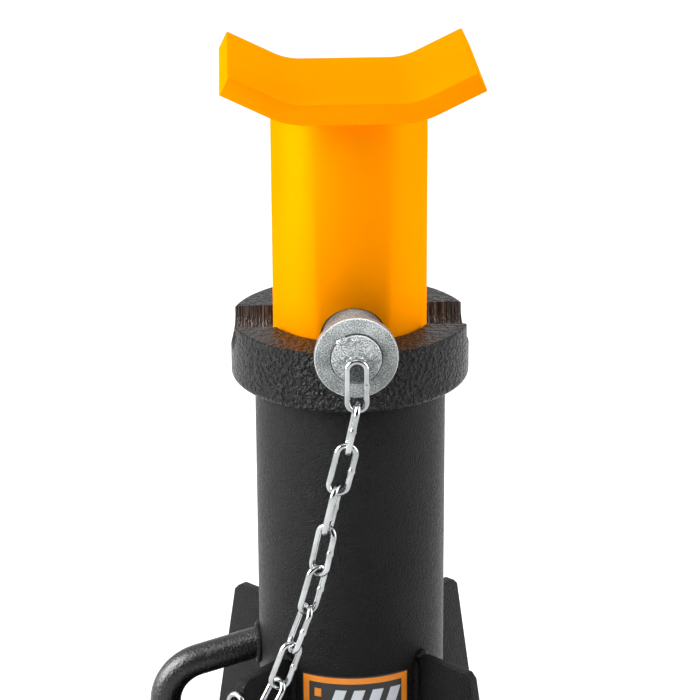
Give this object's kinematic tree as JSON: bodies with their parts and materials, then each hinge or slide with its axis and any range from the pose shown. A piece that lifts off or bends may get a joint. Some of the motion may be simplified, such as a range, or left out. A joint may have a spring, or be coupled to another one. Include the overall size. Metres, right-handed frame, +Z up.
{
  "type": "axle stand",
  "caption": "Pin-type axle stand: tubular column with gussets, sliding post with a bent saddle, and a locking pin on a chain.",
  "frame": {"origin": "centre of the underside of the base plate, on the column's axis", "axes": "+Z up along the column, -Y towards the pin head, -X towards the carrying handle"},
  "size_m": [0.24, 0.24, 0.4732],
  "materials": {
    "black_paint": "satin black, fine wrinkle",
    "orange_paint": "gloss orange-yellow",
    "zinc_steel": "bright zinc plating",
    "chain_zinc": "bright zinc plating",
    "label_film": "smooth printed film"
  },
  "bodies": {
    "stand": {"base_plate": "black_paint", "column_tube": "black_paint", "collar": "black_paint", "gusset_front_left": "black_paint", "gusset_front_right": "black_paint", "gusset_rear_left": "black_paint", "gusset_rear_right": "black_paint", "carry_handle": "black_paint", "label_plate": "label_film", "chain_link_11": "chain_zinc"},
    "post": {"post_tube": "orange_paint", "saddle_plate": "orange_paint"},
    "pin": {"pin_shaft": "zinc_steel", "pin_washer": "zinc_steel", "chain_link_01": "chain_zinc"},
    "chain_upper": {"chain_link_02": "chain_zinc", "chain_link_03": "chain_zinc"},
    "chain_middle": {"chain_link_04": "chain_zinc", "chain_link_05": "chain_zinc", "chain_link_06": "chain_zinc", "chain_link_07": "chain_zinc", "chain_link_08": "chain_zinc"},
    "chain_lower": {"chain_link_09": "chain_zinc", "chain_link_10": "chain_zinc"}
  },
  "joints": [
    {"name": "post_lift", "type": "slide", "parent": "stand", "child": "post", "axis": [0, 0, 1], "range_m": [0, 0.254]},
    {"name": "pin_pull", "type": "slide", "parent": "post", "child": "pin", "axis": [0, -1, 0], "range_m": [0, 0.135]},
    {"name": "chain_upper_swing", "type": "hinge", "parent": "pin", "child": "chain_upper", "pos_m": [0, -0.069, 0.31555], "axis": [-1, 0, 0], "range_deg": [0, 35]},
    {"name": "chain_middle_swing", "type": "hinge", "parent": "chain_upper", "child": "chain_middle", "pos_m": [-0.01008, -0.069, 0.27371], "axis": [-0.9703, 0, 0.2419], "range_deg": [0, 30]},
    {"name": "chain_lower_swing", "type": "hinge", "parent": "chain_middle", "child": "chain_lower", "pos_m": [-0.03983, -0.069, 0.17061], "axis": [-0.9077, -0.2588, 0.3304], "range_deg": [0, 30]}
  ]
}
